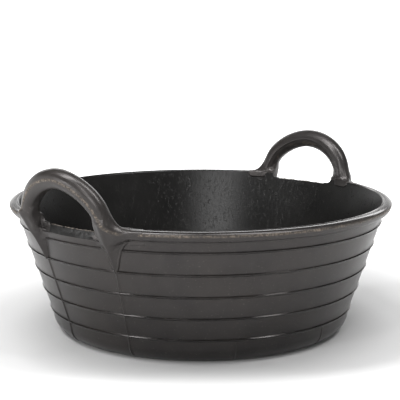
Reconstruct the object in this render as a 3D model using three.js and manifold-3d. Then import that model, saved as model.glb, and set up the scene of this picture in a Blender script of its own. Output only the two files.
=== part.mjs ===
// Rubber mortar mixing tub: a ribbed conical tub with a rolled rim and two arched hand grips.
//
// Millimetres, +Z up. The origin is on the ground, under the centre of the tub.
// The handles stand at -X (left) and +X (right). Front is -Y and back is +Y.
// "Along" is a distance round the rim from the middle of a handle, "rise" a height over the rim.

import * as THREE from 'three';
import { mergeVertices } from 'three/addons/utils/BufferGeometryUtils.js';
import Module from 'manifold-3d';

const wasm = await Module();
wasm.setup();

// ---------------------------------------------------------------- driving dimensions

const gap = 0.3;                  // air left between pieces that touch
const farOut = 400;               // beyond every piece: the reach of shapes that only cut
const nearAxis = 10;              // inside every piece that such a shape cuts
const ringSegments = 64;
const gripSteps = 30;
const gripSides = 12;
const coreSides = 8;
const tailSteps = 14;

const wallThickness = 6.2;
const floorThickness = 7.5;
const wallSlope = 0.3274;         // how much the radius grows for each mm of height
const ribCount = 5;               // thin hoops moulded round the outside of the wall
const ribSpacing = 27.2;
const topRibHeight = 139.8;
const topRibRadius = 228.2;       // crest of the top rib
const ribDepth = 1.4;             // how far a rib stands proud of the wall
const ribRise = 1.3;              // from the crest up to where the rib meets the wall
const ribFall = 2.8;              // the same, downwards
const heelRadius = 24;            // rounded corner between the wall and the floor
const floorRadius = 163;

const rimRadius = 240;            // widest point of the rolled rim
const rimWidest = 160.8;
const rimTop = 165.2;
const rimBottom = 152.8;
const rimLipRadius = 229;         // inner edge of the rolled rim's top

const handleAngle = 12;           // degrees from a handle's middle to the inside of its feet
const footAngle = 22;             // degrees from a handle's middle to the far end of its feet
const sillBottom = 148;           // the low bar that closes the bottom of the hand hole
const sillTop = 158.2;
const sillRecess = 1;             // how far its outer face stands back from the wall's
const sillEdge = 2;               // thickness of its top, which is bevelled to an edge

const archHalfWidth = 61.5;       // centreline of the grip at the rim
const archRise = 55;
const archSquareness = 1.75;      // exponent of the superellipse that the grip follows
const archRadius = 240;           // distance of the grip's foot from the tub's axis
const archLean = 0.09;            // outward lean, mm for each mm of rise
const gripRadius = 11.7;
const rootDrop = 8;               // how far its straight roots run down past the rim's widest line
const rootShare = 0.06;           // share of the curve's length in each root
const coreRadius = 3.5;           // reinforcing cord inside the handle
const tailDrop = 1.5;             // the cord's tail lies this far under the rim's widest line

const hingeRise = 24;             // where the rubber arch bends when the tub is lifted
const hingeGap = 0.4;
const footTopDrop = 6.5;          // flat top of the foot, below the bending axis

const gussetTip = { angle: 14.9, height: 117, halfWidth: 1.6 };
const gussetTop = 172;
const gussetReach = 262;          // beyond its widest point
const gussetSlope = 0.5;          // the gusset's outer face leans out more than the wall
const gussetProud = 0.5;          // how far its tip stands out past the ribs
const swoopTop = 182;             // where the fillet over a foot leaves the arch

// ---------------------------------------------------------------- colours

const wallRubber = new THREE.MeshStandardMaterial({ color: 0x45413e, roughness: 0.5, metalness: 0 });
const floorRubber = new THREE.MeshStandardMaterial({ color: 0x262523, roughness: 0.6, metalness: 0 });
const rimRubber = new THREE.MeshStandardMaterial({ color: 0x4d4946, roughness: 0.42, metalness: 0 });
const handleRubber = new THREE.MeshStandardMaterial({ color: 0x484542, roughness: 0.4, metalness: 0 });
const coreCord = new THREE.MeshStandardMaterial({ color: 0xb8ac94, roughness: 0.85, metalness: 0 });

// ---------------------------------------------------------------- solids

function toSolid(geometry) {
  const bare = geometry.clone();
  bare.deleteAttribute('normal');
  bare.deleteAttribute('uv');
  const merged = mergeVertices(bare, 1e-3);
  return new wasm.Manifold(new wasm.Mesh({
    numProp: 3,
    vertProperties: new Float32Array(merged.attributes.position.array),
    triVerts: new Uint32Array(merged.index.array),
  }));
}

function toMesh(name, solid, material) {
  const { vertProperties, triVerts } = solid.getMesh();
  const geometry = new THREE.BufferGeometry();
  geometry.setAttribute('position', new THREE.BufferAttribute(vertProperties, 3));
  geometry.setIndex(new THREE.BufferAttribute(triVerts, 1));
  geometry.computeVertexNormals();
  const mesh = new THREE.Mesh(geometry, material);
  mesh.name = name;
  return mesh;
}

// A ring round +Z. The outline is a closed loop of [radius, height] that runs up its outer side.
function ring(outline) {
  const points = outline.map(([radius, height]) => new THREE.Vector2(radius, height));
  points.push(points[0].clone());
  const geometry = new THREE.LatheGeometry(points, ringSegments);
  geometry.rotateX(Math.PI / 2);
  return toSolid(geometry);
}

function disc(radius, bottom, top) {
  const geometry = new THREE.CylinderGeometry(radius, radius, top - bottom, ringSegments);
  geometry.rotateX(Math.PI / 2);
  geometry.translate(0, 0, (top + bottom) / 2);
  return toSolid(geometry);
}

// A tall slice of a pie with its point on the axis, between two angles in degrees from +X.
function slice(fromAngle, toAngle, bottom, top) {
  const from = THREE.MathUtils.degToRad(fromAngle);
  const to = THREE.MathUtils.degToRad(toAngle);
  const reach = farOut / Math.cos((to - from) / 2);
  const outline = new THREE.Shape();
  outline.moveTo(0, 0);
  outline.lineTo(reach * Math.cos(from), reach * Math.sin(from));
  outline.lineTo(reach * Math.cos(to), reach * Math.sin(to));
  const geometry = new THREE.ExtrudeGeometry(outline, { depth: top - bottom, bevelEnabled: false });
  geometry.translate(0, 0, bottom);
  return toSolid(geometry);
}

function box(low, high) {
  const geometry = new THREE.BoxGeometry(high[0] - low[0], high[1] - low[1], high[2] - low[2]);
  geometry.translate((low[0] + high[0]) / 2, (low[1] + high[1]) / 2, (low[2] + high[2]) / 2);
  return toSolid(geometry);
}

// A round bar along a curve.
function bar(curve, radius, sides, steps = gripSteps) {
  const section = new THREE.Shape();
  section.absarc(0, 0, radius, 0, 2 * Math.PI);
  return toSolid(new THREE.ExtrudeGeometry(section, {
    curveSegments: sides / 2,     // a whole circle gets twice this number of sides
    steps,
    bevelEnabled: false,
    extrudePath: curve,
  }));
}

// ---------------------------------------------------------------- tub outlines

const wallTilt = Math.atan(wallSlope);

// The cone that touches the crest of every rib, the wall's outside between ribs, and its inside.
function crestRadius(height) {
  return topRibRadius + wallSlope * (height - topRibHeight);
}

function outerRadius(height) {
  return crestRadius(height) - ribDepth;
}

function innerRadius(height) {
  return outerRadius(height) - wallThickness / Math.cos(wallTilt);
}

const ribHeights = Array.from({ length: ribCount }, (_, rib) => topRibHeight - rib * ribSpacing).reverse();
const heelTop = ribHeights[0] - ribFall;
const wallTop = rimBottom - gap;

// Outer side of the wall from the heel up to a height, with its ribs.
function ribbedSide(toHeight, offset = 0) {
  const ribs = ribHeights.flatMap((height) => [
    [outerRadius(height - ribFall) + offset, height - ribFall],
    [crestRadius(height) + offset, height - ribFall / 4],
    [crestRadius(height) + offset, height + ribRise / 4],
    [outerRadius(height + ribRise) + offset, height + ribRise],
  ]);
  return [...ribs, [outerRadius(toHeight) + offset, toHeight]];
}

// Points on the rounded corner between the floor and the wall, from the floor up.
function heelArc(radius, count) {
  const centreHeight = heelRadius;
  const centreRadius = crestRadius(centreHeight) - heelRadius / Math.cos(wallTilt);
  return Array.from({ length: count + 1 }, (_, index) => {
    const angle = -Math.PI / 2 + (index / count) * (Math.PI / 2 - wallTilt);
    return [centreRadius + radius * Math.cos(angle), centreHeight + radius * Math.sin(angle)];
  });
}

// ---------------------------------------------------------------- tub pieces

function makeFloor() {
  return disc(floorRadius - gap, 0, floorThickness);
}

function makeHeel() {
  const outer = heelArc(heelRadius, 5);
  const inner = heelArc(heelRadius - floorThickness, 4).reverse();
  const top = heelTop - gap;
  return ring([
    [floorRadius, 0],
    ...outer,
    [outerRadius(top), top],
    [innerRadius(top), top],
    ...inner,
    [floorRadius, floorThickness],
  ]);
}

function makeWall() {
  const shell = ring([
    ...ribbedSide(wallTop),
    [innerRadius(wallTop), wallTop],
    [innerRadius(heelTop), heelTop],
  ]);
  const notchBottom = sillBottom - gap;
  return shell
    .subtract(slice(-handleAngle, handleAngle, notchBottom, rimTop))
    .subtract(slice(180 - handleAngle, 180 + handleAngle, notchBottom, rimTop));
}

// The rolled rim's section: straight inside, a flattened round on top, a fuller round below.
function rimOutline() {
  const inside = [[rimLipRadius - 0.6, rimTop - 1], [innerRadius(rimBottom), rimBottom]];
  const roundTop = new THREE.EllipseCurve(rimLipRadius + 4, rimWidest,
    rimRadius - rimLipRadius - 4, rimTop - rimWidest, 0, Math.PI / 2).getPoints(4);
  const roundBottom = new THREE.EllipseCurve(rimRadius - 6, rimWidest,
    6, rimWidest - rimBottom, -Math.PI / 2, 0).getPoints(4).slice(0, -1);
  const round = [...roundBottom, ...roundTop].map((point) => [point.x, point.y]);
  return [...round, [rimLipRadius, rimTop], ...inside];
}

const gapAngle = THREE.MathUtils.radToDeg(gap / 2 / rimLipRadius);

function makeRim(middleAngle) {
  const half = 90 - footAngle - gapAngle;
  const reach = slice(middleAngle - half, middleAngle + half, 0, 2 * rimTop);
  return ring(rimOutline()).intersect(reach);
}

function makeSill(middleAngle) {
  const strip = ring([
    [outerRadius(sillBottom) - sillRecess, sillBottom],
    [innerRadius(sillTop) + sillEdge, sillTop],
    [innerRadius(sillTop), sillTop],
    [innerRadius(sillBottom), sillBottom],
  ]);
  const half = handleAngle - 2 * gapAngle;
  return strip.intersect(slice(middleAngle - half, middleAngle + half, 0, 2 * rimTop));
}

// ---------------------------------------------------------------- handle centreline

// A point on the tub's curved side, from the right-hand handle's middle.
function onRim(along, rise, radius = archRadius) {
  const angle = along / archRadius;
  const reach = radius + archLean * rise;
  return new THREE.Vector3(reach * Math.cos(angle), reach * Math.sin(angle), rimWidest + rise);
}

// The centreline of a grip: a superellipse that stands on the rim, with short straight roots.
class GripCurve extends THREE.Curve {
  getPoint(t) {
    const fromEnd = Math.min(t, 1 - t);
    const side = t < 0.5 ? -1 : 1;
    if (fromEnd < rootShare) {
      return onRim(side * archHalfWidth, -rootDrop * (1 - fromEnd / rootShare));
    }
    const angle = Math.PI * (fromEnd - rootShare) / (1 - 2 * rootShare);
    const along = archHalfWidth * Math.cos(angle) ** (2 / archSquareness);
    const rise = archRise * Math.sin(angle) ** (2 / archSquareness);
    return onRim(side * along, rise);
  }
}

const gripCurve = new GripCurve();

function alongAtRise(rise) {
  return archHalfWidth * (1 - (rise / archRise) ** archSquareness) ** (1 / archSquareness);
}

const hinge = onRim(alongAtRise(hingeRise), hingeRise);

// Everything that bends with the grip: above the axis, and inside the round end about the axis.
function bendingSpace(endRadius, floorHeight) {
  const round = new THREE.CylinderGeometry(endRadius, endRadius, farOut, ringSegments / 2);
  round.translate(hinge.x, 0, hinge.z);
  return toSolid(round).add(box([0, -farOut / 2, floorHeight], [farOut, farOut / 2, farOut]));
}

// ---------------------------------------------------------------- handle pieces, right-hand side

function makeGrip() {
  const bore = bar(gripCurve, coreRadius + gap, coreSides);
  return bar(gripCurve, gripRadius, gripSides)
    .subtract(bore)
    .intersect(bendingSpace(gripRadius, hinge.z));
}

function makeCore() {
  return bar(gripCurve, coreRadius, coreSides).intersect(bendingSpace(gripRadius, hinge.z));
}

// The cord's tail runs down the leg and turns along the rim. Side is -1 for front, 1 for back.
function tailCurve(side) {
  const bendRise = hingeRise / 3;
  const bend = alongAtRise(bendRise);
  const bead = (rimRadius + rimLipRadius) / 2;
  return new THREE.CatmullRomCurve3([
    onRim(side * alongAtRise(hingeRise), hingeRise),
    onRim(side * alongAtRise(hingeRise * 0.75), hingeRise * 0.75),
    onRim(side * (bend + 3), bendRise),
    onRim(side * (bend + 14), 0, bead + 1),
    onRim(side * (bend + 24), -tailDrop, bead),
    onRim(side * (bend + 44), -tailDrop, bead - 4),
  ]);
}

function makeTail(side) {
  const end = footAngle - gapAngle;
  const reach = side > 0 ? slice(0, end, 0, farOut) : slice(-end, 0, 0, farOut);
  return bar(tailCurve(side), coreRadius, coreSides, tailSteps)
    .intersect(reach)
    .subtract(bendingSpace(gripRadius + hingeGap, hinge.z - footTopDrop));
}

// A flat plate cut to an outline of [along, height], standing across the tub's radius at an angle.
function plate(outline, angle, fromRadius, toRadius) {
  const geometry = new THREE.ExtrudeGeometry(outline, {
    depth: toRadius - fromRadius,
    curveSegments: 6,
    bevelEnabled: false,
  });
  geometry.rotateX(Math.PI / 2);
  geometry.rotateZ(Math.PI / 2);
  geometry.translate(fromRadius, 0, 0);
  geometry.rotateZ(THREE.MathUtils.degToRad(angle));
  return toSolid(geometry);
}

// The fillet that runs from the arch down on to the rim.
function makeSwoop() {
  const middle = (handleAngle + footAngle) / 2;
  const at = (angle) => THREE.MathUtils.degToRad(angle - middle) * rimRadius;
  const fillet = new THREE.Shape();
  fillet.moveTo(at(handleAngle + 2.2), rimBottom + 2);
  fillet.lineTo(at(footAngle), rimBottom + 2);
  fillet.lineTo(at(footAngle), rimTop - 0.8);
  fillet.quadraticCurveTo(at(footAngle - 3.8), rimTop, at(handleAngle + 3.8), swoopTop);
  return plate(fillet, middle, rimLipRadius - 2, rimRadius - 1.5);
}

// The web under a foot, which tapers down the wall to a point.
function makeGusset() {
  const middle = (handleAngle + footAngle) / 2;
  const at = (angle, radius) => THREE.MathUtils.degToRad(angle - middle) * radius;
  const tip = at(gussetTip.angle, outerRadius(gussetTip.height));
  const farSide = at(footAngle, outerRadius(rimBottom));
  const web = new THREE.Shape();
  web.moveTo(at(handleAngle, rimRadius), gussetTop);
  web.lineTo(at(handleAngle, rimRadius), sillBottom);
  web.lineTo(tip - gussetTip.halfWidth, gussetTip.height);
  web.lineTo(tip + gussetTip.halfWidth, gussetTip.height);
  web.bezierCurveTo(tip + 7, gussetTip.height + 15, farSide - 15, rimBottom - 10, farSide, rimBottom + 2);
  web.lineTo(farSide, rimWidest);
  const taperTop = rimTop + gussetTop - rimBottom;
  const faceRadius = (height) => (
    crestRadius(gussetTip.height) + gussetProud + gussetSlope * (height - gussetTip.height));
  const face = ring([
    [nearAxis, heelTop],
    [outerRadius(heelTop), heelTop],
    [faceRadius(gussetTip.height), gussetTip.height],
    [faceRadius(taperTop), taperTop],
    [nearAxis, taperTop],
  ]);
  return plate(web, middle, rimRadius - 40, gussetReach).intersect(face);
}

// Everything inside the tub's inner surface, up past the rim.
function bowlSpace() {
  const low = heelTop;
  const top = rimTop + archRise;
  return ring([
    [innerRadius(low), low],
    [innerRadius(rimTop), rimTop],
    [innerRadius(rimTop), top],
    [nearAxis, top],
    [nearAxis, low],
  ]);
}

function makeFoot() {
  const wedge = slice(handleAngle + gapAngle, footAngle - gapAngle, 0, 2 * rimTop);
  const tubWall = ring([...ribbedSide(rimBottom, gap), [nearAxis, rimBottom], [nearAxis, heelTop]]);
  const leg = bar(gripCurve, gripRadius, gripSides).intersect(slice(3, 60, 0, farOut));
  return ring(rimOutline())
    .add(makeSwoop())
    .add(makeGusset())
    .intersect(wedge)
    .add(leg)
    .subtract(tubWall)
    .subtract(bowlSpace())
    .subtract(bar(tailCurve(1), coreRadius + gap, coreSides, tailSteps))
    .subtract(bendingSpace(gripRadius + hingeGap, hinge.z - footTopDrop));
}

// ---------------------------------------------------------------- assembly

const frontCopy = new THREE.Matrix4().makeScale(1, -1, 1).toArray();
const leftCopy = new THREE.Matrix4().makeRotationZ(Math.PI).toArray();

const tub = new THREE.Group();
tub.add(toMesh('floor_disc', makeFloor(), floorRubber));
tub.add(toMesh('heel_ring', makeHeel(), wallRubber));
tub.add(toMesh('wall_shell', makeWall(), wallRubber));
tub.add(toMesh('rim_bead_front', makeRim(-90), rimRubber));
tub.add(toMesh('rim_bead_back', makeRim(90), rimRubber));

const backFoot = makeFoot();
const rightPieces = [
  ['handle_sill_right', makeSill(0), handleRubber],
  ['handle_foot_right_back', backFoot, handleRubber],
  ['handle_foot_right_front', backFoot.transform(frontCopy), handleRubber],
  ['handle_grip_right', makeGrip(), handleRubber],
  ['handle_core_right', makeCore(), coreCord],
  ['core_tail_right_back', makeTail(1), coreCord],
  ['core_tail_right_front', makeTail(-1), coreCord],
];

// The left handle is the right one turned half round, so its front foot is the right one's back foot.
const swap = { right_back: 'left_front', right_front: 'left_back', right: 'left' };
for (const [name, solid, material] of rightPieces) {
  const leftName = name.replace(/right_back|right_front|right/, (word) => swap[word]);
  tub.add(toMesh(name, solid, material));
  tub.add(toMesh(leftName, solid.transform(leftCopy), material));
}

export default tub;
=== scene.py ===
"""A rubber mortar mixing tub: the visible surfaces, materials, light and camera around its CAD frame.

Lengths in the modelling functions are millimetres and become metres when a mesh is made. The
tub stands on z = 0, the handles stand at -X and +X, and angles are in degrees from +X.
"""
import math

import bmesh
import bpy
import numpy as np
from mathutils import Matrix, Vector


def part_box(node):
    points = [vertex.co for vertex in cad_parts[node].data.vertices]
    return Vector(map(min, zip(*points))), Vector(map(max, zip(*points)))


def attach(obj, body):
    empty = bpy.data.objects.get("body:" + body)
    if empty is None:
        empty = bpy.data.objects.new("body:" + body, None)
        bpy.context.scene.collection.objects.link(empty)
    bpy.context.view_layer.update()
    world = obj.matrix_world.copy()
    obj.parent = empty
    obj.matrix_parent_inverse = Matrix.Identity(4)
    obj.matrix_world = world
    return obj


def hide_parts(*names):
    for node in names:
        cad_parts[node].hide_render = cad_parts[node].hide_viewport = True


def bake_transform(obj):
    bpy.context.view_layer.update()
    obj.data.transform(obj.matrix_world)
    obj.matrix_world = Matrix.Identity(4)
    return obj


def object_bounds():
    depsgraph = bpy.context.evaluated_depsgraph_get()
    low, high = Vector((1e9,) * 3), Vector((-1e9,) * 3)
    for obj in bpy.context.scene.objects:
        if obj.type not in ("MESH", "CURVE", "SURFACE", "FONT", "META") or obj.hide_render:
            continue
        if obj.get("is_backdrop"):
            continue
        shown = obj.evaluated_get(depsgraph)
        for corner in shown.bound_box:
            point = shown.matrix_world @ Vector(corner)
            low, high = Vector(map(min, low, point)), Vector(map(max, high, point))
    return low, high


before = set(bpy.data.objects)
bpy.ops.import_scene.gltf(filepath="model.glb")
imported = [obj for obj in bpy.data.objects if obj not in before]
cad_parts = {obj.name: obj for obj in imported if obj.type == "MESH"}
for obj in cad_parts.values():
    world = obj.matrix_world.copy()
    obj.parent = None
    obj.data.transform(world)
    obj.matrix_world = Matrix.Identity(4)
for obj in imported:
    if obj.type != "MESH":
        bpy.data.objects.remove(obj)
cad_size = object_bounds()

# ---------------------------------------------------------------- sizes, from the frame

MM = 0.001


def node_box(name):
    """Lowest and highest corner of a CAD node, in millimetres."""
    low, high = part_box(name)
    return np.array(low) / MM, np.array(high) / MM


rim_low, rim_high = node_box("rim_bead_front")
sill_low, sill_high = node_box("handle_sill_right")
wall_low, _ = node_box("wall_shell")
foot_low, _ = node_box("handle_foot_right_back")
_, heel_high = node_box("heel_ring")
_, floor_high = node_box("floor_disc")
_, grip_high = node_box("handle_grip_right")

RIM_RADIUS = -rim_low[1]
RIM_TOP = rim_high[2]
RIM_BOTTOM = rim_low[2]
RIM_WIDEST = RIM_BOTTOM + 8.0        # height at which the rolled rim is widest
RIM_LIP = RIM_RADIUS - 11.0          # inner edge of the rolled rim's top
RIM_UNDER_WIDTH = 6.5                # how far in the rim's rolled underside reaches
RIM_CROWN_WIDTH = 7.0                # and its rounded top
SILL_TOP = sill_high[2]
WALL_TOP = sill_low[2]               # the rim pieces take in the wall above this height
HEEL_TOP = (heel_high[2] + wall_low[2]) / 2
HEEL_INNER_RADIUS = 163.0            # of the hole in the CAD's heel ring, which the floor disc fills
FLOOR_RADIUS = (floor_high[0] + HEEL_INNER_RADIUS) / 2
FLOOR_THICKNESS = floor_high[2]

WALL_SLOPE = 0.3274                  # growth of radius for each mm of height
WALL_TILT = math.atan(WALL_SLOPE)
WALL_THICKNESS = 6.2
RIB_DEPTH = 1.4                      # from the ribs' crests in to the plain wall
RIB_CREST = 1.75                     # moulded a little prouder than the CAD's facets
RIB_RISE = 1.3                       # height of a rib's flank above its crest
RIB_FALL = 2.8                       # and below it
RIB_SPACING = 27.2
RIB_HEIGHTS = [HEEL_TOP + RIB_FALL + RIB_SPACING * rib for rib in range(5)]
CREST_AT_TOP_RIB = RIM_RADIUS - 11.8
HEEL_RADIUS = 24.0

FOOT_END = 24.0                      # degrees from a handle's middle to where its foot ends
SILL_END = 9.0                       # and to where the bar under the hand hole ends
RIM_START = 14.5                     # and to where the rolled rim starts, inside the leg
SEAM_ANGLE = 14.9                    # and to the long mould seams
MM_PER_DEGREE = 4                    # round the rim, roughly

ARCH_RADIUS = RIM_RADIUS
ARCH_LEAN = 0.09                     # growth of the arch's radius for each mm of rise
GRIP_RADIUS = 11.7
ARCH_RISE = grip_high[2] - GRIP_RADIUS - RIM_WIDEST
ROOT_RISE = 2.0                      # where the grip's round section ends, over the rim's widest line
SWOOP_REACH = 22.0                   # size of the curve where a leg runs out along the rim
INNER_SWOOP_REACH = 6.0              # and of the same curve on the tub's inside

FOOT_FACE_RADIUS = 250.4             # where a foot's slanting outer face is, at the height below
FOOT_FACE_HEIGHT = 170.0
FOOT_FACE_SLOPE = 0.566              # growth of radius for each mm of height, on feet and gussets
FOOT_FACE_COSINE = 0.87              # of that slope: turns a step along the radius into a distance
FOOT_FACE_ROUNDING = 3.0

GUSSET_TIP = foot_low[2] - 6.0       # height of the gusset's pointed lower end
GUSSET_TIP_RADIUS = 220.7
GUSSET_COSINE = 0.7                  # the same for a gusset's slanting faces
GUSSET_TOP = RIM_WIDEST - 1          # where the gusset ends under the rim
GUSSET_LEG_TOP = 11                  # how much higher it goes beside the leg
LEG_HALF_DEPTH = 8.8                 # from the arch's curve to the gusset's side at the hand hole

SILL_FILLET = 3.0                    # softness of the joint between a foot and the bar
HOLE_CORNER = 11.0                   # size of the hand hole's rounded lower corners
LIP_BOTTOM = -2.4                    # rise and distance along the rim where a leg's inner lip ends
LIP_END = 90
LIP_DEPTH = 0.7                      # how far the lip stands out from the tub's inside
LIP_CORNER = 7.0                     # how round its corners are
OVERLAP = 7.0                        # how far down inside the wall a handle's skin carries on


def crest_radius(height):
    """The cone that touches the crest of every rib."""
    return CREST_AT_TOP_RIB + WALL_SLOPE * (height - RIB_HEIGHTS[-1])


def outer_radius(height):
    """The wall's outside, between the ribs."""
    return crest_radius(height) - RIB_DEPTH


def inner_radius(height):
    """The wall's inside."""
    return outer_radius(height) - WALL_THICKNESS / math.cos(WALL_TILT)


# ---------------------------------------------------------------- small numeric helpers


def smooth_step(low, high, value):
    share = np.clip((value - low) / (high - low), 0, 1)
    return share * share * (3 - 2 * share)


def ridge(distance, half_width):
    """A rounded ridge of height 1 round distance 0."""
    return np.clip(1 - (distance / half_width) ** 2, 0, 1) ** 2


def soft_min(a, b, reach):
    """The smaller of a and b, rounded over where they are within reach of each other."""
    blend = np.clip(0.5 + 0.5 * (b - a) / reach, 0, 1)
    return b * (1 - blend) + a * blend - reach * blend * (1 - blend)


def soft_max(a, b, reach):
    return -soft_min(-a, -b, reach)


def lattice_noise(points, size, seed):
    """Smooth noise from -1 to 1 with features of about the given size in mm."""
    scaled = points / size
    corner = np.floor(scaled).astype(np.int64)
    share = scaled - corner
    share = share * share * (3 - 2 * share)
    total = np.zeros(len(points))
    for offset in np.ndindex(2, 2, 2):
        x, y, z = (corner + offset).T
        mixed = (x * 73856093) ^ (y * 19349663) ^ (z * 83492791) ^ (seed * 2654435761)
        mixed = (mixed ^ (mixed >> 13)) * 1274126177
        value = ((mixed >> 8) & 65535) / 32767.5 - 1
        weight = np.prod(np.where(offset, share, 1 - share), axis=1)
        total += value * weight
    return total


def cylinder_coordinates(points):
    """Radius, angle in degrees from +X, and height."""
    radius = np.hypot(points[:, 0], points[:, 1])
    angle = np.degrees(np.arctan2(points[:, 1], points[:, 0]))
    return radius, angle, points[:, 2]


def half_turn_range(angle):
    """The same angle in degrees, from -180 up to 180."""
    return (angle + 180) % 360 - 180


# ---------------------------------------------------------------- meshes


def add_mesh(name, points, faces, material, crease=35):
    """A piece from points in millimetres. Edges that turn by more than the crease angle stay sharp."""
    mesh = bpy.data.meshes.new(name)
    mesh.from_pydata((points * MM).tolist(), [], faces)
    mesh.update()
    mesh.shade_smooth()
    mesh.set_sharp_from_angle(angle=math.radians(crease))
    mesh.materials.append(material)
    piece = bpy.data.objects.new(name, mesh)
    bpy.context.scene.collection.objects.link(piece)
    return piece


def grid_faces(rows, columns, closed_rows, closed_columns):
    """Quads of a grid of points stored row by row."""
    row = np.arange(rows if closed_rows else rows - 1)
    column = np.arange(columns if closed_columns else columns - 1)
    row, column = np.meshgrid(row, column, indexing="ij")
    next_row, next_column = (row + 1) % rows, (column + 1) % columns
    corners = [row * columns + column, row * columns + next_column,
               next_row * columns + next_column, next_row * columns + column]
    return np.stack(corners, axis=-1).reshape(-1, 4).tolist()


def revolve(outline, angles, closed):
    """Points and faces of a closed outline of [radius, height] turned through the angles.

    The outline runs up its outer side. An open sweep gets flat ends.
    """
    outline = np.asarray(outline, float)
    turn = np.radians(angles)[:, None]
    radius, height = outline[None, :, 0], outline[None, :, 1]
    points = np.stack([radius * np.cos(turn), radius * np.sin(turn),
                       height + 0 * turn], axis=-1)
    count, columns = points.shape[:2]
    faces = grid_faces(count, columns, closed, True)
    if not closed:
        faces.append(list(range(columns)))
        faces.append(list(range((count - 1) * columns, count * columns))[::-1])
    return points.reshape(-1, 3), [face[::-1] for face in faces]


def line(start, end, spacing):
    """Points from start towards end, without the end, about the spacing apart."""
    start, end = np.asarray(start, float), np.asarray(end, float)
    count = max(1, round(float(np.linalg.norm(end - start)) / spacing))
    return [start + (end - start) * step / count for step in range(count)]


def push_out(points, amount):
    """Moves points away from the axis, square to the sloping wall."""
    radius = np.hypot(points[:, 0], points[:, 1])[:, None]
    outward = np.hstack([points[:, :2] / radius * math.cos(WALL_TILT),
                         np.full((len(points), 1), -math.sin(WALL_TILT))])
    return points + outward * amount[:, None]


def ring_angles(step, seams, spread):
    """Angles all round at an even step, with extra columns close to each seam."""
    close = np.array([-1.5, -1.0, -0.7, -0.4, -0.15, 0.15, 0.4, 0.7, 1.0, 1.5]) * spread
    even = [angle for angle in np.arange(-180, 180, step)
            if all(abs(half_turn_range(angle - seam)) > close[-1] for seam in seams)]
    extra = [seam + shift for seam in seams for shift in close]
    return np.sort(half_turn_range(np.array(even + extra)))


# ---------------------------------------------------------------- tub outlines


def rib_offset(height):
    """How far the wall's ribs stand out at a height: a steep, flat top flank and a long lower one."""
    height = np.asarray(height, float)
    total = np.zeros_like(height)
    for crest in RIB_HEIGHTS:
        above = np.clip(1 - (height - crest) / RIB_RISE, 0, 1)
        below = smooth_step(-RIB_FALL, 0, height - crest)
        total += RIB_CREST * np.where(height > crest, soft_min(above, 1, 0.3), below)
    return total


def heel_arc(radius, count):
    """Points on the rounded corner from the floor up to the wall."""
    centre_radius = crest_radius(HEEL_RADIUS) - HEEL_RADIUS / math.cos(WALL_TILT)
    return [[centre_radius + radius * math.cos(angle), HEEL_RADIUS + radius * math.sin(angle)]
            for angle in np.linspace(-math.pi / 2, -WALL_TILT, count)]


def bead_outline(bottom_height):
    """The rolled rim's section, with the wall under it down to a height: skirt, bead and raised lip."""
    under_centre = RIM_RADIUS - RIM_UNDER_WIDTH
    crown_centre = RIM_RADIUS - RIM_CROWN_WIDTH
    crown_rise = RIM_TOP - 0.3 - RIM_WIDEST
    lower = [[under_centre + RIM_UNDER_WIDTH * math.cos(angle),
              RIM_WIDEST + (RIM_WIDEST - RIM_BOTTOM) * math.sin(angle)]
             for angle in np.linspace(-math.pi / 2, 0, 17)]
    upper = [[crown_centre + RIM_CROWN_WIDTH * math.cos(angle),
              RIM_WIDEST + crown_rise * math.sin(angle) ** 0.9]
             for angle in np.linspace(0, math.pi / 2, 15)[1:]]
    lip = [[RIM_LIP + 2.2, RIM_TOP - 0.5],
           [RIM_LIP + 1.6, RIM_TOP - 0.1],
           [RIM_LIP + 0.8, RIM_TOP],
           [RIM_LIP + 0.1, RIM_TOP - 0.4],
           [inner_radius(RIM_TOP - 1.2), RIM_TOP - 1.2]]
    inner_foot = [inner_radius(bottom_height), bottom_height]
    outer_foot = [outer_radius(bottom_height), bottom_height]
    skirt_top = [outer_radius(RIM_BOTTOM - 0.8), RIM_BOTTOM - 0.8]
    fillet = [[outer_radius(RIM_BOTTOM) + 0.1, RIM_BOTTOM - 0.5],
              [outer_radius(RIM_BOTTOM) + 0.8, RIM_BOTTOM - 0.1]]
    inside = line(lip[-1], inner_foot, 1.5)[1:]
    bottom = line(inner_foot, outer_foot, 2.0)
    return line(outer_foot, skirt_top, 1.2) + fillet + lower + upper + lip + inside + bottom


# ---------------------------------------------------------------- handle shape


def distance_to_path(points, path):
    """Distance from each point to a chain of straight stretches."""
    nearest = np.full(len(points), np.inf)
    for start, end in zip(path[:-1], path[1:]):
        span = end - start
        share = np.clip((points - start) @ span / max(span @ span, 1e-9), 0, 1)
        gap = points - start - share[:, None] * span
        nearest = np.minimum(nearest, np.einsum("ij,ij->i", gap, gap))
    return np.sqrt(nearest)


class Arch:
    """The curve that a grip follows: half its width at the rim, its squareness, and its turn in degrees."""

    def __init__(self, half_width, squareness, turn):
        self.half_width = half_width
        self.squareness = squareness
        self.turn = turn
        angle = np.linspace(math.pi / 2, 0, 40)
        along = half_width * np.cos(angle) ** (2 / squareness)
        rise = ARCH_RISE * np.sin(angle) ** (2 / squareness)
        root = (half_width, ROOT_RISE - 0.01)
        self.path = np.vstack([np.column_stack([along, rise]), root])

    def offset(self, along, rise):
        """Distance from the curve in the unrolled side: negative on the hand hole's side."""
        distance = distance_to_path(np.column_stack([along, rise]), self.path)
        share = (along / self.half_width) ** self.squareness
        share += (np.clip(rise, 0, None) / ARCH_RISE) ** self.squareness
        return np.where(share < 1, -distance, distance)


RIGHT_ARCH = Arch(63.6, 1.92, 0.8)
LEFT_ARCH = Arch(62.3, 1.8, 179.8)


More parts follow.
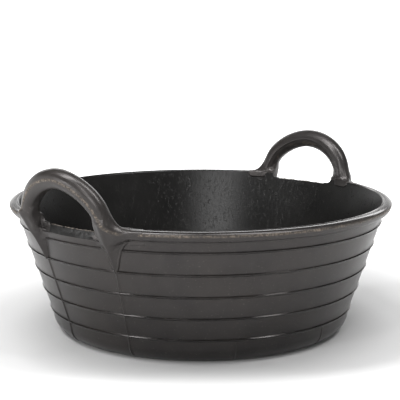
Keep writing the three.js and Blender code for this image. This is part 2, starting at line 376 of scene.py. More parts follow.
def unroll(points):
    """Where points are beside the right-hand handle.

    The three numbers are how far along the rim from the handle's middle, how far up from the rim's
    widest line, and how far outwards from the leaning surface that the arch's curve lies on.
    """
    radius, angle, height = cylinder_coordinates(points)
    rise = height - RIM_WIDEST
    outward = radius - ARCH_RADIUS - ARCH_LEAN * np.clip(rise, 0, None)
    return np.abs(np.radians(angle)) * ARCH_RADIUS, rise, outward


def distance_to_outline(radius, height, outline):
    """Signed distance from a closed outline of [radius, height], negative inside."""
    outline = np.asarray(outline, float)
    here = np.column_stack([radius, height])
    inside = np.zeros(len(here), bool)
    for start, end in zip(outline, np.roll(outline, -1, axis=0)):
        crosses = (start[1] > height) != (end[1] > height)
        rise = end[1] - start[1] if end[1] != start[1] else 1e-9
        inside ^= crosses & (radius < start[0] + (end[0] - start[0]) * (height - start[1]) / rise)
    distance = distance_to_path(here, np.vstack([outline, outline[:1]]))
    return np.where(inside, -distance, distance)


def gusset_rise(height):
    """Share of the way up a gusset: about 0 at its tip, and 1 at the rolled rim's underside."""
    return np.clip((height - GUSSET_TIP) / (RIM_BOTTOM - GUSSET_TIP), 0.001, 1.3)


def gusset_lip(height):
    """Angle of the gusset's far edge, from the handle's middle."""
    rise = gusset_rise(height)
    return SEAM_ANGLE + 3.1 * np.sqrt(rise) + 3.3 * rise ** 4


def gusset_height(angle, height):
    """How far the pointed web under a foot stands out from the wall.

    A flat bevel faces the hand hole. A hollow face on the other side runs out to a thin raised lip.
    """
    rise = gusset_rise(height)
    crease_radius = GUSSET_TIP_RADIUS + FOOT_FACE_SLOPE * (height - GUSSET_TIP)
    least_peak, least_angle = 0.6, 0.15
    peak = np.maximum(crease_radius - outer_radius(height), least_peak)
    crease = SEAM_ANGLE - 0.5 * np.sqrt(rise)
    hole_edge = SEAM_ANGLE - 3.5 * rise ** 0.6
    bevel_share = (angle - hole_edge) / np.maximum(crease - hole_edge, least_angle)
    bevel = peak * bevel_share + 0.3
    lip = gusset_lip(height)
    hollow_share = np.clip((angle - crease) / np.maximum(lip - crease, least_angle), -0.2, 1)
    wall_radius = 230
    past_lip = np.radians(angle - lip) * wall_radius
    hollow = peak * (1 - hollow_share) ** 1.5 + 1.0
    hollow += 1.0 * ridge(past_lip + 1.1, 1.5) - 4 * np.clip(past_lip, 0, None)
    return soft_min(bevel, hollow, np.clip(0.6 * peak, 0.4, 4.0))


def sill_outline():
    """The low bar that closes the bottom of the hand hole: bevelled to a thin edge on top."""
    return [[outer_radius(WALL_TOP) - 0.2, WALL_TOP],
            [inner_radius(SILL_TOP - 1) + 1.0, SILL_TOP - 1.2],
            [inner_radius(SILL_TOP) + 0.5, SILL_TOP - 0.3],
            [inner_radius(SILL_TOP - 1), SILL_TOP - 0.6],
            [inner_radius(WALL_TOP), WALL_TOP]]


def inner_lip(off, rise, along):
    """Edge, in the unrolled side, of the raised half of a leg's inner face: negative inside it."""
    return soft_max(soft_max(-off, LIP_BOTTOM - rise, LIP_CORNER), along - LIP_END, LIP_CORNER)


def grip_section(off, rise, outward):
    """The grip's oval section: deep at the top of the arch, slimmer down the legs, flat by the hole."""
    share = smooth_step(5, 48, rise)
    half_depth = 9.5 + 2.6 * share
    half_breadth = 10.6 + 0.9 * share
    mean_radius, flat = 10.5, 0.9
    oval = (np.hypot(off / half_depth, outward / half_breadth) - 1) * mean_radius
    return soft_max(oval, -off - half_depth + flat, 0.8)


def corner_web(off, height, radius):
    """The thin web that rounds a lower corner of the hand hole."""
    to_leg = -off - 10
    corner = soft_min(to_leg, height - SILL_TOP + 0.4, HOLE_CORNER)
    near_corner = soft_max(np.abs(to_leg - 1.5) - 9.5, height - RIM_TOP - 3, 6.0)
    thickness = 0.8 + 3.0 * smooth_step(10, 2, to_leg)
    face = radius - inner_radius(height) - thickness
    return soft_max(np.maximum(corner, near_corner), face, 1.2)


def inner_pad(off, rise, along, radius, height):
    """The raised half of a leg's inner face, which ends in a rounded lip on the tub's inside."""
    side = soft_max(inner_lip(off, rise, along), rise - 5, 4.0)
    depth = LIP_DEPTH * smooth_step(6, -1, rise)
    face = soft_max(side, inner_radius(height) - depth - radius, 1.2)
    return np.maximum(face, radius - inner_radius(height) - 2)


def swoop_reach(outward):
    """Size of the curve from leg to rim: full on the outside, small at the tub's inside."""
    return INNER_SWOOP_REACH + (SWOOP_REACH - INNER_SWOOP_REACH) * smooth_step(-11, -4, outward)


def leg_and_rim(radius, angle, height, off, rise, outward):
    """The grip with its legs running out along the rolled rim, cut to the foot's slanting face."""
    bead = distance_to_outline(radius, height, bead_outline(WALL_TOP - OVERLAP))
    sunk_into_wall = 0.05 * np.clip(WALL_TOP - height, 0, None)
    bead += sunk_into_wall
    before_rim = np.where(height > WALL_TOP, (RIM_START - angle) * MM_PER_DEGREE, 0)
    rim = np.maximum(bead, before_rim)
    arm = soft_min(grip_section(off, rise, outward), rim, swoop_reach(outward))
    face_radius = FOOT_FACE_RADIUS + FOOT_FACE_SLOPE * (height - FOOT_FACE_HEIGHT)
    return soft_max(arm, (radius - face_radius) * FOOT_FACE_COSINE, FOOT_FACE_ROUNDING)


def gusset(radius, angle, height, arch):
    """The pointed web under a foot, from inside the wall up to the rim, and higher beside the leg."""
    web = (radius - outer_radius(height) - gusset_height(angle, height)) * GUSSET_COSINE
    top = GUSSET_TOP + GUSSET_LEG_TOP * smooth_step(18.5, 15.5, angle)
    web = soft_max(web, height - top, 4.0)
    leg_side = np.degrees((arch.half_width - LEG_HALF_DEPTH) / ARCH_RADIUS)
    under_leg = 20 * smooth_step(153, 146, height)
    web = soft_max(web, (leg_side - angle) * MM_PER_DEGREE - under_leg, 1.5)
    return np.maximum(web, (outer_radius(height) - 0.8 - radius))


def cut_to_inside(body, radius, height):
    """Cuts rubber off flush with the tub's inside, and rounds that cut above the rim."""
    inner_limit = inner_radius(np.minimum(height, RIM_TOP))
    over_rim = smooth_step(RIM_TOP, RIM_TOP + 3, height)
    return soft_max(body, (inner_limit - radius) * math.cos(WALL_TILT), 0.001 + 2 * over_rim)


def end_in_neighbours(body, angle, height):
    """Sinks a foot's ends ever deeper into the rim and the bar beside it, and then ends them."""
    low = height < RIM_TOP + 4
    sunk = body + 0.2 * np.clip(angle - FOOT_END, 0, None)
    sunk += 0.2 * np.clip(SILL_END - angle, 0, None) * low
    hole_end = np.where(low, (SILL_END - 1.2 - angle) * MM_PER_DEGREE, -50)
    rim_end = (angle - FOOT_END - 1.2) * MM_PER_DEGREE
    return np.maximum(sunk, np.maximum(hole_end, rim_end))


def handle_field(points, arch):
    """Less than zero inside a handle's rubber, and elsewhere about the distance to its surface."""
    mirrored = np.column_stack([points[:, 0], np.abs(points[:, 1]), points[:, 2]])
    radius, angle, height = cylinder_coordinates(mirrored)
    along, rise, outward = unroll(mirrored)
    off = arch.offset(along, rise)
    arm = leg_and_rim(radius, angle, height, off, rise, outward)
    under_rim = smooth_step(0.5, -1.5, angle - gusset_lip(height))
    body = soft_min(arm, gusset(radius, angle, height, arch), 0.8 + 7.0 * under_rim)
    body = soft_min(body, distance_to_outline(radius, height, sill_outline()), SILL_FILLET)
    body = soft_min(body, corner_web(off, height, radius), 4.0)
    body = cut_to_inside(body, radius, height)
    body = soft_min(body, inner_pad(off, rise, along, radius, height), 1.2)
    return end_in_neighbours(body, angle, height)


def sample_near_surface(field, axes, coarse, reach):
    """The field on a grid, exact only where a coarser grid says that the surface is close."""
    rough_axes = [axis[::coarse] for axis in axes]
    rough = np.stack(np.meshgrid(*rough_axes, indexing="ij"), axis=-1)
    values = field(rough.reshape(-1, 3)).reshape(rough.shape[:3])
    for axis in range(3):
        values = np.repeat(values, coarse, axis=axis)
    values = values[tuple(slice(len(axis)) for axis in axes)].copy()
    near = np.abs(values) < reach
    picked = np.column_stack([axis[index] for axis, index in zip(axes, np.nonzero(near))])
    values[near] = field(picked)
    return values


def surface_net(field, low, high, step):
    """A quad mesh of where a field is zero, one point in each grid cell that the surface crosses."""
    coarse = 4
    axes = [np.arange(a, b + coarse * step, step) for a, b in zip(low, high)]
    axes = [axis[:len(axis) // coarse * coarse] for axis in axes]
    shape = tuple(len(axis) for axis in axes)
    values = sample_near_surface(field, axes, coarse, 3 * coarse * step)
    inside = values < 0
    cells = tuple(size - 1 for size in shape)
    total = np.zeros(cells + (3,))
    count = np.zeros(cells)
    quads = []
    for axis in range(3):
        first = [slice(None)] * 3
        second = [slice(None)] * 3
        first[axis], second[axis] = slice(0, -1), slice(1, None)
        a, b = values[tuple(first)], values[tuple(second)]
        crossing = (a < 0) != (b < 0)
        share = np.where(crossing, a / np.where(crossing, a - b, 1), 0)
        others = [other for other in range(3) if other != axis]
        for shift in np.ndindex(2, 2):
            window = [slice(None)] * 3
            for other, offset in zip(others, shift):
                window[other] = slice(offset, shape[other] - 1 + offset)
            hit = crossing[tuple(window)]
            count += hit
            total[..., axis] += np.where(hit, share[tuple(window)], 0)
            for other, offset in zip(others, shift):
                total[..., other] += np.where(hit, offset, 0)
        edges = np.argwhere(crossing)
        inner = np.all([(edges[:, o] > 0) & (edges[:, o] < shape[o] - 1) for o in others], axis=0)
        edges = edges[inner]
        around = []
        for shift in ((0, 0), (1, 0), (1, 1), (0, 1)):
            cell = edges.copy()
            for other, offset in zip(others, shift):
                cell[:, other] -= offset
            around.append(np.ravel_multi_index(cell.T, cells))
        quad = np.stack(around, axis=1)
        enters = inside[tuple(edges.T)] == (axis != 1)
        quads.append(np.where(enters[:, None], quad, quad[:, ::-1]))
    used = np.flatnonzero(count)
    index = np.full(count.size, -1)
    index[used] = np.arange(len(used))
    cell = np.stack(np.unravel_index(used, cells), axis=1)
    share = total.reshape(-1, 3)[used] / count.reshape(-1)[used, None]
    points = np.array(low) + (cell + share) * step
    return points, index[np.concatenate(quads)]


def field_slope(field, points, step):
    """Slope of a field at each point, from the field's values a step to either side."""
    return np.stack([field(points + shift) - field(points - shift)
                     for shift in np.eye(3) * step], axis=1) / (2 * step)


def settle(points, field, rounds):
    """Moves points on to the field's zero along its slope."""
    longest_move = 0.6
    for _ in range(rounds):
        slope = field_slope(field, points, 0.2)
        steepness = np.maximum(np.einsum("ij,ij->i", slope, slope), 0.05)
        move = np.clip(field(points) / steepness, -longest_move, longest_move)
        points = points - move[:, None] * slope
    return points


# ---------------------------------------------------------------- materials


class Material:
    """A procedural material: a Principled shader with short helpers for the nodes that feed it."""

    def __init__(self, name):
        self.material = bpy.data.materials.new(name)
        self.material.use_nodes = True
        self.nodes = self.material.node_tree.nodes
        self.links = self.material.node_tree.links
        self.shader = self.nodes["Principled BSDF"]
        self.place = self.nodes.new("ShaderNodeTexCoord").outputs["Object"]

    def noise(self, scale, detail, roughness=0.5, stretch=None):
        """Noise from 0 to 1 with about this many features to the metre."""
        node = self.nodes.new("ShaderNodeTexNoise")
        node.inputs["Scale"].default_value = scale
        node.inputs["Detail"].default_value = detail
        node.inputs["Roughness"].default_value = roughness
        self.links.new(self.stretched(stretch), node.inputs["Vector"])
        return node.outputs["Fac"]

    def stretched(self, stretch):
        if stretch is None:
            return self.place
        node = self.nodes.new("ShaderNodeMapping")
        node.inputs["Scale"].default_value = stretch
        self.links.new(self.place, node.inputs["Vector"])
        return node.outputs["Vector"]

    def ramp(self, value, low, high, start=0.0, end=1.0):
        """Maps a value between low and high to a number between start and end, clamped."""
        node = self.nodes.new("ShaderNodeMapRange")
        node.inputs["From Min"].default_value = low
        node.inputs["From Max"].default_value = high
        node.inputs["To Min"].default_value = start
        node.inputs["To Max"].default_value = end
        self.links.new(value, node.inputs["Value"])
        return node.outputs["Result"]

    def maths(self, operation, a, b):
        node = self.nodes.new("ShaderNodeMath")
        node.operation = operation
        for socket, value in zip(node.inputs, (a, b)):
            if isinstance(value, (int, float)):
                socket.default_value = value
            else:
                self.links.new(value, socket)
        return node.outputs["Value"]

    def mix(self, share, first, second):
        """Mixes two colours, each a socket or a tuple."""
        node = self.nodes.new("ShaderNodeMix")
        node.data_type = "RGBA"
        share_socket, first_colour, second_colour, mixed_colour = 0, 6, 7, 2
        self.links.new(share, node.inputs[share_socket])
        for index, value in ((first_colour, first), (second_colour, second)):
            if isinstance(value, tuple):
                node.inputs[index].default_value = value + (1,)
            else:
                self.links.new(value, node.inputs[index])
        return node.outputs[mixed_colour]

    def height(self):
        """Metres over the ground."""
        split = self.nodes.new("ShaderNodeSeparateXYZ")
        self.links.new(self.place, split.inputs[0])
        return split.outputs["Z"]

    def attribute(self, name):
        node = self.nodes.new("ShaderNodeAttribute")
        node.attribute_name = name
        return node.outputs["Fac"]

    def bump(self, height, strength, distance):
        node = self.nodes.new("ShaderNodeBump")
        node.inputs["Strength"].default_value = strength
        node.inputs["Distance"].default_value = distance
        self.links.new(height, node.inputs["Height"])
        self.links.new(node.outputs["Normal"], self.shader.inputs["Normal"])

    def feed(self, **sockets):
        """Sets or links the shader's inputs. A number stays on the shader's own socket."""
        for name, value in sockets.items():
            socket = self.shader.inputs[name.replace("_", " ")]
            if isinstance(value, (int, float)):
                socket.default_value = value
            else:
                self.links.new(value, socket)


def outside_rubber():
    """Satin moulded rubber, faintly mottled and dusty, and painted darker low down as painted shade.

    It is brown and gritty where flash was trimmed, and shinier where ribs and rim get rubbed.
    """
    look = Material("outside_rubber")
    grit = look.attribute("grit")
    rubbed = look.attribute("rubbed")
    mottle = look.ramp(look.noise(60, detail=5), 0.35, 0.65)
    cloud = look.ramp(look.noise(14, detail=3), 0.35, 0.65)
    grit_spots = look.ramp(look.noise(420, detail=3, roughness=0.7), 0.45, 0.6)
    dust = look.ramp(look.noise(520, detail=2), 0.66, 0.74)
    speck = look.ramp(look.noise(900, detail=2), 0.5, 0.8)

    # painted shade: the base colour is darker low down, where the floor near the tub lies in shade
    low_painted_shade_colour = look.mix(mottle, (0.006, 0.0056, 0.0056), (0.009, 0.0084, 0.0084))
    high_colour = look.mix(mottle, (0.018, 0.0166, 0.0164), (0.024, 0.0222, 0.0218))
    grit_colour = look.mix(grit_spots, (0.032, 0.026, 0.021), (0.17, 0.14, 0.11))
    base = look.mix(look.ramp(look.height(), 0.01, 0.13), low_painted_shade_colour, high_colour)
    base = look.mix(look.maths("MULTIPLY", cloud, 0.3), base, (0.036, 0.031, 0.027))
    base = look.mix(grit, base, grit_colour)
    base = look.mix(look.maths("MULTIPLY", dust, 0.5), base, (0.11, 0.10, 0.09))

    rough = look.ramp(mottle, 0, 1, 0.28, 0.34)
    rough = look.maths("ADD", rough, look.maths("MULTIPLY", grit, 0.3))
    rough = look.maths("SUBTRACT", rough, look.maths("MULTIPLY", rubbed, 0.16))

    raised_grit = look.maths("MULTIPLY", grit_spots, look.maths("MULTIPLY", grit, 2.5))
    height = look.maths("ADD", look.maths("MULTIPLY", speck, 0.3), look.noise(160, detail=4))
    height = look.maths("ADD", height, raised_grit)

    look.feed(Base_Color=base, Roughness=rough, Specular_IOR_Level=0.38)
    look.shader.inputs["Specular Tint"].default_value = (1.0, 0.95, 0.94, 1)
    look.bump(height, strength=0.06, distance=0.0004)
    return look.material


def inside_rubber():
    """Dull rubber, scuffed by shovels and trowels, with a base darker than the outside's as painted shade
    inside the tub.
    """
    look = Material("inside_rubber")
    cloud = look.ramp(look.noise(22, detail=5), 0.3, 0.7)
    scuffs = look.noise(260, detail=6, roughness=0.75, stretch=(1, 1, 0.5))
    scuffs = look.ramp(scuffs, 0.55, 0.75)
    # painted shade: a darker base than the outside rubber's, for the shaded inside of the tub
    base = look.mix(cloud, (0.0055, 0.0053, 0.0051), (0.010, 0.0096, 0.0092))
    base = look.mix(look.maths("MULTIPLY", scuffs, 0.25), base, (0.055, 0.050, 0.045))
    rough = look.ramp(scuffs, 0, 1, 0.30, 0.22)
    look.feed(Base_Color=base, Roughness=rough, Specular_IOR_Level=0.26)
    grain = look.maths("ADD", look.noise(300, detail=5, roughness=0.7), scuffs)
    look.bump(grain, strength=0.4, distance=0.0004)
    return look.material


def cord_fibre():
    """Twisted nylon cord: the strands run round the cord in a slant."""
    look = Material("cord_fibre")
    wave = look.nodes.new("ShaderNodeTexWave")
    wave.wave_type = "BANDS"
    wave.bands_direction = "DIAGONAL"
    wave.inputs["Scale"].default_value = 300
    wave.inputs["Distortion"].default_value = 1.5
    look.links.new(look.place, wave.inputs["Vector"])
    strands = wave.outputs["Fac"]
    fibre = look.mix(strands, (0.22, 0.18, 0.12), (0.55, 0.49, 0.38))
    look.feed(Base_Color=fibre, Roughness=0.8)
    look.bump(strands, strength=0.6, distance=0.0005)
    return look.material


def pale_floor():
    """A white floor that glows softly away from the tub, like a sweep fading into its background, and whose
    paper is painted darker close round the tub as painted shade.
    """
    look = Material("pale_floor")
    length = look.nodes.new("ShaderNodeVectorMath")
    length.operation = "LENGTH"
    look.links.new(look.place, length.inputs[0])
    distance = length.outputs["Value"]
    paper = look.mix(look.noise(3, detail=2), (0.88, 0.88, 0.88), (0.92, 0.92, 0.92))
    # painted shade: greyer paper close round the tub, where its shadow falls
    near = look.ramp(distance, 0.2, 0.5, 1, 0)
    paper = look.mix(near, paper, (0.62, 0.62, 0.62))
    glow = look.ramp(distance, 0.35, 1.5, 0.03, 1.2)
    look.feed(Base_Color=paper, Roughness=0.85, Emission_Color=paper, Emission_Strength=glow)
    return look.material


OUTSIDE = outside_rubber()
INSIDE = inside_rubber()
CORD = cord_fibre()


def store_amount(piece, name, amount):
    """Stores how gritty or how rubbed each point is, from 0 to 1, for the materials."""
    layer = piece.data.attributes.new(name, "FLOAT", "POINT")
    layer.data.foreach_set("value", np.asarray(amount, np.float32))


def paint_inside(piece, is_inside):
    """Gives the inside material to the faces whose centre is inside the tub."""
    piece.data.materials.append(INSIDE)
    centres = np.array([polygon.center for polygon in piece.data.polygons]) / MM
    piece.data.polygons.foreach_set("material_index", is_inside(centres).astype(np.int32))


def inner_side(centres):
    """Whether places are on the tub's inside, below the top of the rim."""
    radius, _, height = cylinder_coordinates(centres)
    depth = radius - inner_radius(height)
    return (-0.4 < depth) & (depth < 1.0) & (height < RIM_TOP - 0.7)


# ---------------------------------------------------------------- tub pieces

LONG_SEAMS = [arch.turn + turn
              for arch in (RIGHT_ARCH, LEFT_ARCH)
              for turn in (-SEAM_ANGLE, SEAM_ANGLE)]
SHORT_SEAMS = [52.5, 90, 127.5, -52.5, -90, -127.5]
SEAM_HEIGHT = 1.3
SEAM_HALF_WIDTH = 1.9
EVEN_STEP = 0.75                     # degrees between a shell's columns of points
PARTING_HALF_WIDTH = 1.3             # of the gritty band round the rim and over the handles
PARTING_SEED = 21


def seam_relief(points, seams, half_width, top, bottom):
    """Height, from 0 to 1, of the raised lines left where mould sections meet."""
    radius, angle, height = cylinder_coordinates(points)
    relief = np.zeros(len(points))
    for seam in seams:
        away = np.radians(half_turn_range(angle - seam)) * radius
        relief = np.maximum(relief, ridge(away, half_width))
    return relief * smooth_step(top, top - 2, height) * smooth_step(bottom, bottom + 3, height)


def rubber_waves(points):
    """The slight unevenness of moulded rubber."""
    return 0.06 * lattice_noise(points, 34, 11) + 0.015 * lattice_noise(points, 9, 12)


def outer_share(points):
    """0 on the tub's inside and 1 on its outside, so that relief is raised only on the outside."""
    radius, _, height = cylinder_coordinates(points)
    return smooth_step(1.5, 4.5, radius - inner_radius(height))


def finish_shell(name, points, faces, relief):
    """Raises the relief and the unevenness on a shell's outer side, and makes the piece."""
    points = push_out(points, (relief + rubber_waves(points)) * outer_share(points))
    piece = add_mesh(name, points, faces, OUTSIDE)
    store_amount(piece, "grit", np.zeros(len(points)))
    paint_inside(piece, inner_side)
    return piece


def make_wall():
    """The sloping wall with its five ribs, from the heel up to the rim's pieces."""
    plain = np.arange(HEEL_TOP, WALL_TOP, 2.2)
    under_crests = [crest + np.linspace(-RIB_FALL, 0, 7) for crest in RIB_HEIGHTS]
    over_crests = [crest + np.linspace(0.15, RIB_RISE, 6) for crest in RIB_HEIGHTS]
    heights = np.unique(np.concatenate([plain, [WALL_TOP]] + under_crests + over_crests))
    outer = [[outer_radius(height) + float(rib_offset(height)), height] for height in heights]
    inner_foot = [inner_radius(HEEL_TOP), HEEL_TOP]
    inner = line([inner_radius(WALL_TOP), WALL_TOP], inner_foot, 6) + [inner_foot]
    angles = ring_angles(EVEN_STEP, LONG_SEAMS, 0.5)
    points, faces = revolve(outer + inner, angles, True)
    ribs = rib_offset(points[:, 2])
    seams = SEAM_HEIGHT * seam_relief(points, LONG_SEAMS, SEAM_HALF_WIDTH, GUSSET_TIP + 4, 0)
    piece = finish_shell("wall", points, faces, np.maximum(seams - ribs, 0))
    store_amount(piece, "rubbed", np.clip(ribs, 0, 1))
    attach(piece, "tub")
    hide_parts("wall_shell")


def make_heel():
    """The lowest course, with the rounded corner, and a nub where each short mould seam ends."""
    outer = heel_arc(HEEL_RADIUS, 26)
    outer_top = [outer_radius(HEEL_TOP), HEEL_TOP]
    inner_top = [inner_radius(HEEL_TOP), HEEL_TOP]
    outer += line(outer[-1], outer_top, 2)[1:] + [outer_top]
    inner = heel_arc(HEEL_RADIUS - FLOOR_THICKNESS, 14)[::-1]
    outline = [[FLOOR_RADIUS, 0]] + outer + [inner_top] + inner + [[FLOOR_RADIUS, FLOOR_THICKNESS]]
    angles = ring_angles(EVEN_STEP, LONG_SEAMS + SHORT_SEAMS, 0.6)
    points, faces = revolve(outline, angles, True)
    relief = SEAM_HEIGHT * seam_relief(points, LONG_SEAMS, SEAM_HALF_WIDTH, 90, 0)
    relief += 0.7 * seam_relief(points, SHORT_SEAMS, 1.3, HEEL_TOP - 1, 0)
    relief += 0.8 * seam_relief(points, SHORT_SEAMS, 2.2, 6, 0)
    piece = finish_shell("heel", points, faces, relief)
    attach(piece, "tub")
    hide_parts("heel_ring")


def close_on_axis(piece):
    """Joins the points that a revolved outline leaves on top of each other on the axis."""
    joined = bmesh.new()
    joined.from_mesh(piece.data)
    bmesh.ops.remove_doubles(joined, verts=joined.verts, dist=0.001 * MM)
    joined.to_mesh(piece.data)
    joined.free()


def make_floor():
    """A flat disc, with faint turned rings on its underside."""
    ring_spacing, ring_half_width, ring_height = 18, 1.5, 0.12
    radii = np.linspace(0, FLOOR_RADIUS, 56)
    from_ring = (radii % ring_spacing) - ring_spacing / 2
    under = np.column_stack([radii, ring_height * ridge(from_ring, ring_half_width)]).tolist()
    over = [[radius, FLOOR_THICKNESS] for radius in radii[::-1]]
    points, faces = revolve(under + over, np.arange(-180, 180, 2.0), True)
    points[:, 2] += 0.2 * lattice_noise(points, 40, 13) * (points[:, 2] > 1)
    piece = add_mesh("floor", points, faces, OUTSIDE)
    close_on_axis(piece)
    store_amount(piece, "grit", np.zeros(len(piece.data.vertices)))
    paint_inside(piece, lambda centres: centres[:, 2] > FLOOR_THICKNESS - 1)
    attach(piece, "tub")
    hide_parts("floor_disc")


def parting_band(distance, points):
    """A rough band left where mould halves meet: its height, and how gritty each point is."""
    band = ridge(distance, PARTING_HALF_WIDTH * 1.6)
    wide_patches = 0.6 * lattice_noise(points, 14, PARTING_SEED)
    small_patches = 0.5 * lattice_noise(points, 5, PARTING_SEED + 1)
    patchy = np.clip(0.55 + wide_patches + small_patches, 0, 1)
    coarse = lattice_noise(points, 2.4, PARTING_SEED + 2)
    rough = coarse + 0.7 * lattice_noise(points, 1.3, PARTING_SEED + 3)
    height = np.clip(band * 1.5, 0, 1) * (0.25 + 0.18 * rough)
    return height, np.clip(band * 1.4, 0, 1) * (0.35 + 0.65 * patchy)


def make_rim(side, start, end):
    """One stretch of rolled rim between the handles, with the top of the wall under it."""
    angles = np.linspace(start, end, 430)
    points, faces = revolve(bead_outline(WALL_TOP), angles, False)
    radius, _, height = cylinder_coordinates(points)
    outside = smooth_step(RIM_RADIUS - 4, RIM_RADIUS - 1.5, radius)
    raised, grit = parting_band(height - RIM_WIDEST, points)
    points = push_out(points, raised * outside + rubber_waves(points) * outer_share(points))
    piece = add_mesh("rim_" + side, points, faces, OUTSIDE)
    store_amount(piece, "grit", grit * outside)
    store_amount(piece, "rubbed", smooth_step(RIM_TOP - 3, RIM_TOP - 1, height))
    paint_inside(piece, inner_side)
    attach(piece, "tub")
    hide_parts("rim_bead_" + side)


def make_sill(side, middle):
    """The bar under the hand hole: torn, with a ragged edge of flash along its top, and its recessed face
    given the darker, duller inside rubber as painted shade.
    """
    outline = []
    corners = sill_outline()
    for start, end in zip(corners, corners[1:] + corners[:1]):
        outline += line(start, end, 0.8)
    angles = np.linspace(middle - SILL_END, middle + SILL_END, 100)
    points, faces = revolve(outline, angles, False)
    top = smooth_step(SILL_TOP - 2.5, SILL_TOP - 0.5, points[:, 2])
    seed = 31 + round(middle)
    waves = 0.5 * lattice_noise(points, 7, seed)
    tears = 0.6 * lattice_noise(points, 2.2, seed + 1)
    points[:, 2] += top * (waves + tears - 0.1)
    points = push_out(points, 0.25 * lattice_noise(points, 4, seed + 2))
    piece = add_mesh("sill_" + side, points, faces, OUTSIDE, crease=60)
    store_amount(piece, "grit", 0.8 * top)
    # painted shade: the bar's face below its ragged top gets the darker inside rubber
    paint_inside(piece, lambda centres: centres[:, 2] < SILL_TOP - 0.9)
    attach(piece, "tub")
    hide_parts("handle_sill_" + side)


def handle_relief(points, placed, arch):
    """Moulding marks on the right-hand handle: how far they stand out, and how gritty each point is.

    A gritty band follows the middle of the outer face and runs out along the rim. A thin line of
    flash follows the arch's upper side. The upper half of the inner face stands proud behind
    another such line, and ends in a rounded lip on each foot.
    """
    along, rise, outward = unroll(points)
    off = arch.offset(along, rise)
    parting = soft_min(off, rise, SWOOP_REACH)
    raised, grit = parting_band(parting, placed)
    outer_face = smooth_step(2, 6, outward)
    inner_face = smooth_step(-1, -4, outward)
    top_line = 0.12 * ridge(outward + 1.0, 1.1) * smooth_step(4, 7, parting)
    lip = inner_lip(off, rise, along)
    inner_half = inner_face * (0.3 * smooth_step(0.5, -0.5, lip) + 0.5 * ridge(lip, 1.1))
    beside_hole = smooth_step(-9, -6, off) * smooth_step(-1, -4, off) * smooth_step(4, 12, rise)
    speckle = np.clip(0.5 * lattice_noise(placed, 3, 26), 0, 1)
    inner_grit = inner_face * beside_hole * speckle
    return raised * outer_face + top_line + inner_half, grit * outer_face + inner_grit


def make_handle(side, arch):
    """One handle's skin, from foot to foot.

    It is shaped as the right-hand handle, with its middle on +X, and then turned into its place.
    """
    foot_turn = math.radians(FOOT_END)
    reach = RIM_RADIUS * math.sin(foot_turn) + 6
    low = [inner_radius(WALL_TOP) * math.cos(foot_turn) - 6, -reach, GUSSET_TIP - 4]
    high = [grip_high[0] + 4, reach, grip_high[2] + 4]

    def field(points):
        return handle_field(points, arch)

    points, faces = surface_net(field, low, high, 0.9)
    points = settle(points, field, 2)
    slope = field_slope(field, points, 0.5)
    normals = slope / np.maximum(np.linalg.norm(slope, axis=1)[:, None], 1e-6)
    turn = math.radians(arch.turn)
    rotation = np.array([[math.cos(turn), math.sin(turn), 0],
                         [-math.sin(turn), math.cos(turn), 0],
                         [0, 0, 1]])
    placed = points @ rotation
    relief, grit = handle_relief(points, placed, arch)
    over_rim = smooth_step(RIM_TOP, RIM_TOP + 8, points[:, 2])
    relief += over_rim * 0.05 * lattice_noise(placed, 26, 43)
    waves = rubber_waves(placed) * (outer_share(points) * (1 - over_rim))
    placed = push_out(placed + (normals @ rotation) * relief[:, None], waves)
    piece = add_mesh("handle_" + side, placed, faces.tolist(), OUTSIDE, crease=180)
    store_amount(piece, "grit", grit)
    paint_inside(piece, inner_side)
    foot = "handle_foot_" + side
    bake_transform(piece)
    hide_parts("handle_grip_" + side, foot + "_front", foot + "_back")


def finish_cores():
    """The cords inside the handles keep their CAD shape and get a twisted fibre look."""
    for name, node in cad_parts.items():
        if "core" in name:
            node.data.materials.clear()
            node.data.materials.append(CORD)


# ---------------------------------------------------------------- stage, light and camera


def make_stage():
    """The floor that the tub stands on, just under it so that the two never share a face."""
    bpy.ops.mesh.primitive_plane_add(size=12, location=(0, 0, -0.0002))
    floor = bpy.context.object
    floor.name = "stage_floor"
    floor.data.materials.append(pale_floor())
    floor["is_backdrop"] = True


def area_light(name, location, aim_height, size, power):
    """A rectangular softbox that faces a point on the tub's axis. Its power is in watts."""
    light = bpy.data.lights.new(name, "AREA")
    light.shape = "RECTANGLE"
    light.size, light.size_y = size
    light.energy = power
    lamp = bpy.data.objects.new(name, light)
    lamp.location = location
    aim = Vector((0, 0, aim_height)) - location
    lamp.rotation_euler = aim.to_track_quat("-Z", "Y").to_euler()
    bpy.context.scene.collection.objects.link(lamp)


VIEW_ANGLE = math.radians(-49.7)     # the camera stands this far round from the front
VIEW_DISTANCE = 1.5
VIEW_HEIGHT = 0.4187
VIEW_PITCH = 0.171                   # how far down the camera looks, in radians
LENS = 107.66
SHIFT = -0.0017

HORIZON_GLOW = 1.35                  # strength of the white surround near the horizon
OVERHEAD_GLOW = 0.03                 # and from the second of these heights up, in degrees
GLOW_FADE = (1, 20)


def beside_view(right, forward, height):
    """A place given by how far right and forward of the tub's centre it is, as the camera sees it."""
    across = Vector((math.cos(VIEW_ANGLE), math.sin(VIEW_ANGLE), 0))
    ahead = Vector((-math.sin(VIEW_ANGLE), math.cos(VIEW_ANGLE), 0))
    return across * right + ahead * forward + Vector((0, 0, height))


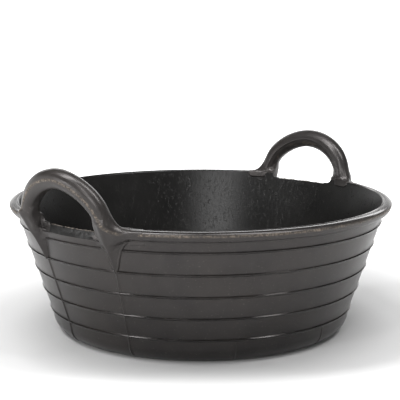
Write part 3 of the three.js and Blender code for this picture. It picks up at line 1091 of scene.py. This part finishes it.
def make_lights():
    """Two long softboxes overhead, softer ones all round the tub, and a white surround.

    The surround is bright round the horizon and dark overhead, so that surfaces which face up
    look dark except where they mirror a softbox.
    """
    area_light("softbox_left", beside_view(-0.66, -0.3, 1.7), 0.15, size=(0.36, 1.3), power=26)
    area_light("softbox_right", beside_view(0.66, -0.3, 1.7), 0.15, size=(0.36, 1.3), power=22)
    area_light("softbox_middle", beside_view(-0.6, -1.5, 1.75), 0.12, size=(0.25, 0.4), power=8)
    area_light("softbox_camera", beside_view(-0.6, -2.6, 1.35), 0.15, size=(1.3, 0.7), power=26)
    area_light("softbox_side", beside_view(-1.9, -1.0, 0.42), 0.25, size=(0.8, 0.22), power=7)
    area_light("softbox_back", beside_view(0, 2.3, 1.2), 0.15, size=(3.4, 0.4), power=20)
    world = bpy.data.worlds.new("studio")
    bpy.context.scene.world = world
    world.use_nodes = True
    nodes, links = world.node_tree.nodes, world.node_tree.links
    direction = nodes.new("ShaderNodeTexCoord")
    split = nodes.new("ShaderNodeSeparateXYZ")
    fade = nodes.new("ShaderNodeMapRange")
    fade.interpolation_type = "SMOOTHSTEP"
    fade.inputs["From Min"].default_value = math.sin(math.radians(GLOW_FADE[0]))
    fade.inputs["From Max"].default_value = math.sin(math.radians(GLOW_FADE[1]))
    fade.inputs["To Min"].default_value = HORIZON_GLOW
    fade.inputs["To Max"].default_value = OVERHEAD_GLOW
    links.new(direction.outputs["Generated"], split.inputs["Vector"])
    links.new(split.outputs["Z"], fade.inputs["Value"])
    nodes["Background"].inputs["Color"].default_value = (1, 1, 1, 1)
    links.new(fade.outputs["Result"], nodes["Background"].inputs["Strength"])


def make_camera():
    camera = bpy.data.cameras.new("camera")
    camera.lens = LENS
    camera.shift_x = SHIFT
    rig = bpy.data.objects.new("camera", camera)
    rig.location = beside_view(0, -VIEW_DISTANCE, VIEW_HEIGHT)
    rig.rotation_euler = (math.pi / 2 - VIEW_PITCH, 0, VIEW_ANGLE)
    bpy.context.scene.collection.objects.link(rig)
    bpy.context.scene.camera = rig
    bpy.context.scene.view_settings.view_transform = "Standard"


make_camera()
make_stage()
make_lights()
make_wall()
make_heel()
make_floor()
make_rim("front", LEFT_ARCH.turn - 360 + FOOT_END, RIGHT_ARCH.turn - FOOT_END)
make_rim("back", RIGHT_ARCH.turn + FOOT_END, LEFT_ARCH.turn - FOOT_END)
make_sill("right", RIGHT_ARCH.turn)
make_sill("left", LEFT_ARCH.turn)
make_handle("right", RIGHT_ARCH)
make_handle("left", LEFT_ARCH)
finish_cores()

boxes = {"cad": cad_size, "visual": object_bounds()}
{name: [list(corner) for corner in box] for name, box in boxes.items()}
